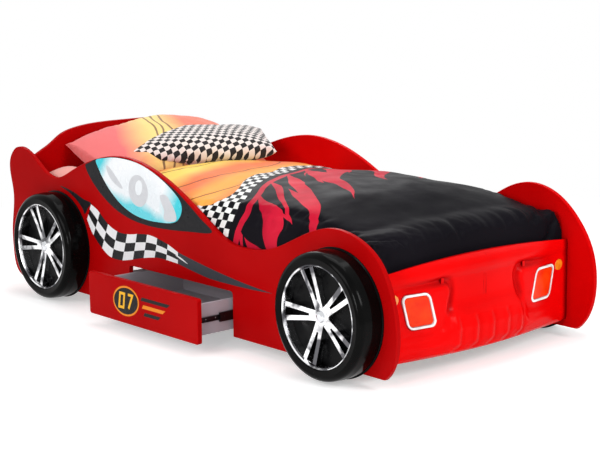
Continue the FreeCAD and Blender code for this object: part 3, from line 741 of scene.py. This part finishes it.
def paint_all():
    red = lacquer("red_board", RED_BOARD)
    # the bumper's creases and recesses darken to a deep red, painted shade
    shell = lacquer("red_shell", RED_SHELL, rough=(0.16, 0.24), spec=0.035, crease_shade=srgb(112, 0, 2))
    # painted light: a brighter copy of the board red for the far panel, whose inner face is more lit than
    # the near panel's outer face
    far_red_painted_light = lacquer("red_board_far_painted_light", srgb(206, 2, 4))
    white_frame = plastic("white_plastic", srgb(236, 236, 236), rough=0.32, grain=0.06)
    lens = Nodes("lamp_lens")
    across = lens.axes()[1]
    glow = lens.noise(22.0, 2.0)
    orange = lens.mix(lens.ramp(glow, 0.3, 0.7), srgb(232, 40, 4), srgb(246, 62, 8))
    lens.link(orange, lens.bsdf.inputs["Base Color"])
    lens.put(lens.bsdf.inputs["Roughness"], lens.between(lens.noise(60.0, 2.0), 0.3, 0.7, 0.12, 0.2))
    lens.set(coat=0.0, spec=0.12)
    ripples = lens.math("SINE", lens.math("MULTIPLY", across, 2 * math.pi / LENS_RIB))
    lens.bump(ripples, 0.10, 0.0004)
    amber = Nodes("amber_lens")
    deep = amber.ramp(amber.noise(80.0, 2.0), 0.3, 0.7)
    amber.link(amber.mix(deep, srgb(226, 120, 18), srgb(245, 150, 34)), amber.bsdf.inputs["Base Color"])
    amber.put(amber.bsdf.inputs["Roughness"], 0.16)
    amber.bump(amber.noise(500.0, 2.0), 0.08, 0.0003)
    amber.set(coat=0.5)
    pine = wood("pine", srgb(224, 190, 144), srgb(196, 152, 102), along=(1.0, 12.0, 12.0))
    pine_cross = wood("pine_cross", srgb(226, 194, 150), srgb(200, 158, 108), along=(12.0, 1.0, 12.0))
    black = plastic("black_plastic", srgb(26, 26, 28), rough=0.42)
    # painted shade: the drawer's white board is a greyer copy of the foot board's white, for the shade
    # the drawer sits in under the bed
    white = board_white("white_board", srgb(172, 170, 178))
    steel = metal("runner_steel", srgb(52, 52, 55), (0.34, 0.5))
    bolt = metal("bolt_steel", srgb(150, 152, 156), (0.28, 0.42))
    tyre = Nodes("tyre")
    tone = tyre.noise(12.0, 3.0)
    rubber = tyre.mix(tyre.ramp(tone, 0.3, 0.7), srgb(3, 3, 3), srgb(8, 8, 8))
    tyre.link(rubber, tyre.bsdf.inputs["Base Color"])
    shine = tyre.between(tyre.noise(16.0, 4.0), 0.3, 0.7, 0.10, 0.18)
    tyre.link(shine, tyre.bsdf.inputs["Roughness"])
    tyre.bump(tyre.noise(900.0, 2.0), 0.05, 0.0003)
    tyre.set(spec=0.05)
    dish = plastic("dish_black", srgb(2, 2, 3), rough=0.30, spec=0.06)
    rim = chrome("rim_silver")
    hub = metal("hub_chrome", srgb(224, 226, 230), (0.08, 0.16))

    paint("side_panel_right", red)
    paint("side_panel_left", far_red_painted_light)
    paint("headboard", red)
    paint("foot_board", board_white("foot_board_white", srgb(214, 208, 200)))
    paint("front_bumper", shell)
    paint("headlight_bezels", white_frame)
    paint("headlight_lenses", lens.mat)
    paint("indicator_lenses", amber.mat)
    for node in ("slat_rail_right", "slat_rail_left", "corner_posts", "centre_beam", "centre_leg"):
        paint(node, pine)
    paint("slats", pine_cross)
    for node in ("corner_glides", "centre_foot"):
        paint(node, black)
    for node in (
        "drawer_guide_right", "drawer_guide_left",
        "drawer_side_left", "drawer_side_right", "drawer_back", "drawer_bottom",
    ):
        paint(node, white)
    paint("drawer_front", red)
    for k in ("outer", "middle", "inner"):
        for s in ("left", "right"):
            paint("runner_%s_%s" % (k, s), steel)
    for end in ("front", "rear"):
        for s in ("left", "right"):
            paint("wheel_tyre_%s_%s" % (end, s), tyre.mat)
            paint("wheel_dish_%s_%s" % (end, s), dish)
            paint("wheel_rim_%s_%s" % (end, s), rim)
            paint("hub_cap_%s_%s" % (end, s), hub)
    paint("wheel_bolts", bolt)


# ---------------------------------------------------------------- nose, swept back at both ends
SWEEP_LEAD = 0.010
SWEEP_BACK = 0.048
SWEEP_FULL = 0.045
LAMP_SQUEEZE = 0.19
LAMP_REACH = 0.10
LAMP_LOWER = 0.06
INDICATOR_GROW = 1.75
# the middle rib behind the bumper's skin, and how far its front is drawn in
RIB_HALF = 0.0065
RIB_REACH = 0.02664
RIB_SLACK = 0.0004
RIB_TRIM = 0.0012


def swept(co, back, half, lamp):
    """The nose as it bows: the middle further out, the ends back, the lamps narrower."""
    t = co.y / half
    reach = min(1.0, max(0.0, (co.x - back) / SWEEP_FULL))
    d = abs(co.y) - lamp[0]
    h = co.z - lamp[1]
    near = math.exp(-(d / LAMP_REACH) ** 4 - (h / LAMP_REACH) ** 4)
    y = math.copysign(lamp[0] + d * (1.0 - LAMP_SQUEEZE * near), co.y) if abs(co.y) > 0.05 else co.y
    z = lamp[1] + h * (1.0 - LAMP_LOWER * near)
    return Vector((co.x + reach * (SWEEP_LEAD - SWEEP_BACK * t * t), y, z))


def grow_domes(obj, box):
    """Widens each round lamp about its own centre."""
    lo, hi = box
    y = hi[1] - (hi[2] - lo[2]) / 2
    z = (lo[2] + hi[2]) / 2
    for v in obj.data.vertices:
        c = Vector((v.co.x, math.copysign(y, v.co.y), z))
        v.co = c + (v.co - c) * INDICATOR_GROW


def make_nose():
    lo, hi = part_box("front_bumper")
    bezel_lo, bezel_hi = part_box("headlight_bezels")
    lamp = (LAMP_Y, (bezel_lo[2] + bezel_hi[2]) / 2)
    for name, node in (
        ("nose_skin", "front_bumper"),
        ("lamp_frames", "headlight_bezels"),
        ("lamp_glass", "headlight_lenses"),
        ("indicator_domes", "indicator_lenses"),
    ):
        obj = node_copy(name, node)
        if node == "indicator_lenses":
            grow_domes(obj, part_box(node))
        for v in obj.data.vertices:
            if abs(v.co.y) < RIB_HALF and abs(v.co.x - lo[0] - RIB_REACH) < RIB_SLACK:
                v.co.x -= RIB_TRIM
            v.co = swept(v.co, lo[0], hi[1], lamp)
        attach(obj, "bed")
        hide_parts(node)


# ---------------------------------------------------------------- bedding
def node_copy(name, node):
    """A free copy of a CAD node's mesh, to shape into fabric."""
    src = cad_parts[node]
    me = src.data.copy()
    me.name = name
    obj = bpy.data.objects.new(name, me)
    obj.matrix_world = Matrix.Identity(4)
    link(obj)
    me.transform(src.matrix_world)
    return obj


def apply_modifier(obj, mod_name):
    with bpy.context.temp_override(object=obj, active_object=obj, selected_objects=[obj]):
        bpy.context.view_layer.objects.active = obj
        bpy.ops.object.modifier_apply(modifier=mod_name)


def remesh(obj, voxel):
    mod = obj.modifiers.new("remesh", "REMESH")
    mod.mode = "VOXEL"
    mod.voxel_size = voxel
    apply_modifier(obj, mod.name)


def shrink(obj, amount):
    """Pulls the surface in along its normals, so that the pressed cloth ends inside the CAD solid."""
    me = obj.data
    bm = bmesh.new()
    bm.from_mesh(me)
    bm.normal_update()
    moves = [v.co - v.normal * amount for v in bm.verts]
    for v, co in zip(bm.verts, moves):
        v.co = co
    bm.to_mesh(me)
    bm.free()


def puff(obj, pressure, frames=20, cap=0.012, pin=None, shrinking=0.0):
    """Blender's cloth under slight pressure, applied to the mesh, no vertex moved by more than cap."""
    before = [v.co.copy() for v in obj.data.vertices]
    if pin is not None:
        group = obj.vertex_groups.new(name="pin")
        for v in obj.data.vertices:
            w = pin(v.co)
            if w > 0:
                group.add([v.index], w, "REPLACE")
    mod = obj.modifiers.new("cloth", "CLOTH")
    s = mod.settings
    s.quality = 5
    s.mass = 0.3
    s.tension_stiffness = 12
    s.compression_stiffness = 12
    s.shear_stiffness = 5
    s.bending_stiffness = 0.4
    s.use_pressure = True
    s.uniform_pressure_force = pressure
    s.shrink_min = -shrinking
    s.effector_weights.gravity = 0
    if pin is not None:
        s.vertex_group_mass = "pin"
    mod.collision_settings.use_collision = False
    mod.point_cache.frame_start = 1
    mod.point_cache.frame_end = frames
    scene = bpy.context.scene
    for f in range(1, frames + 1):
        scene.frame_set(f)
    apply_modifier(obj, mod.name)
    scene.frame_set(1)
    for v, old in zip(obj.data.vertices, before):
        d = v.co - old
        if d.length > cap:
            v.co = old + d * (cap / d.length)


def subdivide(obj, levels=1):
    mod = obj.modifiers.new("smooth", "SUBSURF")
    mod.levels = levels
    mod.render_levels = levels
    apply_modifier(obj, mod.name)


def shade_smooth(obj):
    for p in obj.data.polygons:
        p.use_smooth = True


def unrolled(n):
    """(x, v): v runs across the bed and on down its sides, as if the cloth lay flat."""
    x, y, z = n.axes()
    drop = n.math("MAXIMUM", n.math("SUBTRACT", BED_TOP + 0.045, z), 0.0)
    side = n.math("SIGN", y)
    v = n.math("ADD", y, n.math("MULTIPLY", side, drop))
    return x, v, z


def line_curve(n, v, points, lo=-0.75, hi=0.75, span=1.0):
    """x as a smooth function of v through these (v, x) points."""
    node = n.add("ShaderNodeFloatCurve")
    curve = node.mapping.curves[0]
    pts = [((p[0] - lo) / (hi - lo), p[1] / span * 0.5 + 0.5) for p in points]
    while len(curve.points) < len(pts):
        curve.points.new(0.5, 0.5)
    for cp, p in zip(curve.points, pts):
        cp.location = p
        cp.handle_type = "AUTO"
    node.mapping.update()
    n.put(node.inputs["Value"], n.between(v, lo, hi, 0.0, 1.0))
    return n.math("MULTIPLY", n.math("SUBTRACT", node.outputs[0], 0.5), 2.0 * span)


# edges of the checkered band, as (v, x)
BAND_HEAD = [
    (-0.75, -0.25), (-0.56, -0.25), (-0.50, -0.20), (-0.45, -0.04), (-0.38, -0.03), (-0.33, -0.055),
    (-0.21, -0.15), (-0.13, -0.19), (0.01, -0.25), (0.14, -0.33), (0.24, -0.37), (0.39, -0.38),
    (0.55, -0.34), (0.75, -0.34),
]
BAND_FOOT = [
    (-0.75, 0.04), (-0.56, 0.07), (-0.50, 0.10), (-0.44, 0.10), (-0.36, 0.05), (-0.28, -0.01),
    (-0.156, -0.085), (0.11, -0.21), (0.31, -0.245), (0.50, -0.20), (0.75, -0.20),
]
CHECK = 0.029


def checks(n, a, b, pitch, light, dark):
    row = n.math("FLOOR", n.math("DIVIDE", a, pitch))
    col = n.math("FLOOR", n.math("DIVIDE", b, pitch))
    odd = n.math("MODULO", n.math("ABSOLUTE", n.math("ADD", row, col)), 2.0)
    return n.mix(odd, light, dark)


def licks(n, u, v, pitch, length, lean):
    """1 inside curved tongues of flame that start at u = 0 and narrow to a point at this length."""
    bend = n.math("MULTIPLY", n.math("POWER", n.math("MAXIMUM", u, 0.0), 0.6), lean)
    stray = n.math("MULTIPLY", n.noise(3.1, 1.0), 1.3)
    phase = n.math("ADD", n.math("ADD", n.math("DIVIDE", v, pitch), stray), bend)
    tooth = n.math("MULTIPLY", n.math("ABSOLUTE", n.math("SUBTRACT", n.math("FRACT", phase), 0.5)), 2.0)
    return n.math("GREATER_THAN", tooth, n.math("DIVIDE", u, length))


def duvet_cloth():
    n = Nodes("duvet_cloth")
    x, v, z = unrolled(n)
    wob = n.math("MULTIPLY", n.math("SUBTRACT", n.noise(5.0, 2.0), 0.5), 0.10)
    # warm end at the head: red-orange, a bright yellow sweep, then salmon
    slant = n.math("ADD", x, n.math("ADD", n.math("MULTIPLY", v, 0.30), wob))
    warm = n.mix(n.ramp(slant, -0.74, -0.66), srgb(214, 52, 30), srgb(246, 206, 96))
    warm = n.mix(n.ramp(slant, -0.58, -0.46), warm, srgb(234, 120, 70))
    warm = n.mix(n.ramp(slant, -0.40, -0.30), warm, srgb(242, 166, 78))
    warm = n.mix(n.ramp(slant, -0.24, -0.06), warm, srgb(208, 84, 66))
    sweep = n.math("FRACT", n.math("MULTIPLY", n.math("ADD", slant, n.math("MULTIPLY", v, v)), 4.2))
    thin = n.math("LESS_THAN", n.math("ABSOLUTE", n.math("SUBTRACT", sweep, 0.5)), 0.022)
    warm = n.mix(n.math("MULTIPLY", thin, 0.7), warm, srgb(96, 40, 34))
    # checks between two soft lines
    head = line_curve(n, v, BAND_HEAD)
    foot = line_curve(n, v, BAND_FOOT)
    check = checks(n, n.math("SUBTRACT", foot, x), v, CHECK, srgb(226, 226, 224), srgb(24, 24, 27))
    color = n.mix(n.math("GREATER_THAN", x, head), warm, check)
    # charcoal end with flames
    char = n.mix(n.ramp(n.noise(2.2, 2.0), 0.3, 0.7), srgb(14, 13, 17), srgb(22, 20, 25))
    u = n.math("ADD", n.math("SUBTRACT", x, n.math("ADD", foot, 0.035)), n.math("MULTIPLY", wob, 0.2))
    broad = licks(n, u, v, 0.30, 0.46, 3.4)
    slim = licks(n, u, v, 0.19, 0.26, 4.6)
    flame = n.math("MULTIPLY", n.math("MAXIMUM", broad, slim), n.math("GREATER_THAN", u, 0.0))
    gap = licks(n, u, v, 0.15, 0.20, 3.6)
    gap = n.math("MULTIPLY", gap, n.math("GREATER_THAN", u, 0.03))
    flame = n.math("MULTIPLY", flame, n.math("SUBTRACT", 1.0, gap))
    crimson = n.mix(n.ramp(n.noise(6.0, 2.0), 0.3, 0.7), srgb(168, 18, 44), srgb(206, 34, 58))
    color = n.mix(n.math("GREATER_THAN", x, foot), color, n.mix(flame, char, crimson))
    n.link(color, n.bsdf.inputs["Base Color"])
    n.put(n.bsdf.inputs["Roughness"], n.between(n.noise(14.0, 3.0), 0.3, 0.7, 0.34, 0.46))
    n.set(sheen=0.0, spec=0.012)
    k = 2 * math.pi / 0.0009
    twill = n.math("SINE", n.math("MULTIPLY", n.math("ADD", n.math("ADD", x, v), z), k))
    height = n.math("ADD", n.math("MULTIPLY", twill, 0.3), n.math("MULTIPLY", n.noise(260.0, 3.0), 0.7))
    n.bump(height, 0.12, 0.0005)
    return n.mat


def pillow_cloth(name, checkered):
    n = Nodes(name)
    x, y, z = n.axes()
    wob = n.math("MULTIPLY", n.math("SUBTRACT", n.noise(6.0, 2.0), 0.5), 0.08)
    if checkered:
        a = n.math("ADD", n.math("ADD", x, n.math("MULTIPLY", z, -0.7)), n.math("MULTIPLY", wob, 0.2))
        b = n.math("ADD", n.math("ADD", y, n.math("MULTIPLY", z, 0.12)), n.math("MULTIPLY", wob, 0.2))
        color = checks(n, a, b, 0.0225, srgb(226, 216, 212), srgb(30, 28, 30))
    else:
        s = n.math("ADD", y, n.math("ADD", n.math("MULTIPLY", n.math("ADD", x, 1.0), 0.30), wob))
        color = n.mix(n.ramp(s, -0.20, -0.06), srgb(226, 112, 112), srgb(244, 210, 130))
        color = n.mix(n.ramp(s, 0.02, 0.14), color, srgb(226, 116, 88))
        lines = n.math("FRACT", n.math("MULTIPLY", s, 26.0))
        thin = n.math("LESS_THAN", lines, 0.26)
        here = n.math("LESS_THAN", n.math("ABSOLUTE", n.math("SUBTRACT", s, 0.015)), 0.055)
        color = n.mix(n.math("MULTIPLY", n.math("MULTIPLY", thin, here), 0.8), color, srgb(92, 58, 52))
    weave(n, 0.18)
    return cloth_base(n, color)


def sheet_cloth():
    n = Nodes("mattress_sheet")
    tone = n.noise(4.0, 3.0)
    weave(n, 0.18)
    return cloth_base(n, n.mix(n.ramp(tone, 0.3, 0.7), srgb(214, 140, 134), srgb(228, 160, 150)))


def ripples(point, seed, scale=1.0):
    """Smooth noise between -1 and 1, the same on every run."""
    q = Vector(point) * scale + Vector((seed, seed * 0.7, -seed))
    return noise.noise(q)


def displace(obj, shift):
    """Moves each vertex by shift(position, normal)."""
    me = obj.data
    bm = bmesh.new()
    bm.from_mesh(me)
    bm.normal_update()
    moves = [v.co + shift(v.co, v.normal) for v in bm.verts]
    for v, co in zip(bm.verts, moves):
        v.co = co
    bm.to_mesh(me)
    bm.free()
    me.update()


def clamp_box(obj, lo, hi):
    for v in obj.data.vertices:
        v.co = Vector([min(max(c, a), b) for c, a, b in zip(v.co, lo, hi)])


# the checkered cushion's fixed tip, and how it is stretched, raised and moved
CUSHION_TIP = (-0.66, 0.44)
CUSHION_TURN = math.radians(29.0)
CUSHION_ACROSS = 0.14
CUSHION_RISE_LENGTH = 0.60
CUSHION_LONGER = 1.17
CUSHION_WIDER = 1.14
CUSHION_LIFT = (0.004, 0.020)
CUSHION_SHIFT = (0.012, 0.024)


def lengthen(obj):
    """Stretches the checkered cushion along its own long side, away from a tip that lifts a little."""
    way = Vector((math.sin(CUSHION_TURN), math.cos(CUSHION_TURN), 0.0))
    across = Vector((math.cos(CUSHION_TURN), -math.sin(CUSHION_TURN), 0.0))
    for v in obj.data.vertices:
        d = v.co - Vector((CUSHION_TIP[0], CUSHION_TIP[1], v.co.z))
        along = d.dot(way)
        wide = d.dot(across) + CUSHION_ACROSS
        v.co = v.co + way * (along * (CUSHION_LONGER - 1.0) + CUSHION_SHIFT[0])
        v.co = v.co + across * (wide * (CUSHION_WIDER - 1.0) + CUSHION_SHIFT[1])
        v.co.z += CUSHION_LIFT[0] + CUSHION_LIFT[1] * max(0.0, 1.0 + along / CUSHION_RISE_LENGTH)


def quilt_folds(co, n):
    """Gathers down the sides and the foot, and long soft folds over the top."""
    half = PANEL_IN
    side = max(0.0, (abs(co.y) - (half - 0.10)) / 0.10)
    foot = max(0.0, (co.x - (FOOT_X - 0.12)) / 0.12)
    hem = max(side, foot) ** 1.5
    along = co.x if side > foot else co.y
    pleat = ripples((along * 26.0, co.z * 3.0, 0.4 if side > foot else 2.4), 3.0)
    pleat = pleat + 0.5 * ripples((along * 55.0, co.z * 4.0, 1.1), 7.0)
    long_fold = ripples((co.x * 3.4 + co.y * 1.2, co.y * 2.2, 0.0), 11.0)
    fine = ripples((co.x * 11.0, co.y * 7.0, co.z * 3.0), 5.0)
    top = 1.0 - hem
    amount = 0.0120 * pleat * hem + (0.007 * long_fold + 0.0034 * fine) * top
    return n * amount if n.z > -0.3 else Vector((0.0, 0.0, 0.0))


# the pad's fold at the head, near side: its height, and how deep the top that it lifts is
PAD_VOXEL = 0.012
PAD_RISE = 0.06
PAD_RISE_DEPTH = 0.03
PAD_RISE_AT = (-1.10, -0.37)
PAD_RISE_SPREAD = (0.13, 0.10)
QUILT_VOXEL = 0.009
QUILT_PLAY = 0.0015
CUSHION_VOXEL = 0.006
CUSHION_INSET = 0.003


def reshaped(name, node, mat, voxel, first=None):
    """An even mesh in the form of a soft CAD node."""
    obj = node_copy(name, node)
    obj.data.materials.clear()
    obj.data.materials.append(mat)
    if first is not None:
        first(obj)
    remesh(obj, voxel)
    return obj


def make_pad():
    pad = reshaped("mattress_pad", "mattress", sheet_cloth(), PAD_VOXEL)
    for v in pad.data.vertices:
        if v.co.z > BED_TOP - PAD_RISE_DEPTH:
            dx = (v.co.x - PAD_RISE_AT[0]) / PAD_RISE_SPREAD[0]
            dy = (v.co.y - PAD_RISE_AT[1]) / PAD_RISE_SPREAD[1]
            v.co.z += PAD_RISE * math.exp(-dx ** 2 - dy ** 2)
    shade_smooth(pad)
    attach(pad, "bed")
    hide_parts("mattress")


def make_quilt():
    quilt = reshaped("quilt", "duvet", duvet_cloth(), QUILT_VOXEL)
    lo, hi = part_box("duvet")

    def hold(co):
        under = co.z < BED_TOP + 0.004 and abs(co.y) < PANEL_IN - 0.02 and co.x < FOOT_X - 0.03
        return 1.0 if under or co.z < lo[2] + 0.02 else 0.0

    puff(quilt, 1.6, frames=14, cap=0.012, pin=hold, shrinking=0.035)
    displace(quilt, quilt_folds)
    least = (lo[0] - 0.02, -PANEL_IN + QUILT_PLAY, lo[2])
    most = (FOOT_X - QUILT_PLAY, PANEL_IN - QUILT_PLAY, hi[2] + 0.02)
    clamp_box(quilt, least, most)
    subdivide(quilt)
    shade_smooth(quilt)
    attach(quilt, "bed")
    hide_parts("duvet")


def make_cushions():
    for name, node, slot_name, first, seed in (
        ("cushion_large", "pillow_large", "pillow_print", None, 31.0),
        ("cushion_checkered", "pillow_checkered", "pillow_checks", lengthen, 21.0),
    ):
        cloth = pillow_cloth(slot_name, first is not None)
        p = reshaped(name, node, cloth, CUSHION_VOXEL, first)
        shrink(p, CUSHION_INSET)
        puff(p, 3.0, frames=16, cap=0.010, shrinking=0.03)

        def dent(co, n, k=seed):
            return n * (0.0028 * ripples(co, k, 9.0) + 0.0014 * ripples(co, k, 24.0))

        displace(p, dent)
        subdivide(p)
        shade_smooth(p)
        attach(p, "bed")
        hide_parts(node)


bpy.context.scene.view_settings.view_transform = "Standard"
make_camera()
make_floor()
make_world()
make_lamps()
paint_all()
make_nose()
side_prints()
drawer_motif()
make_pad()
make_quilt()
make_cushions()
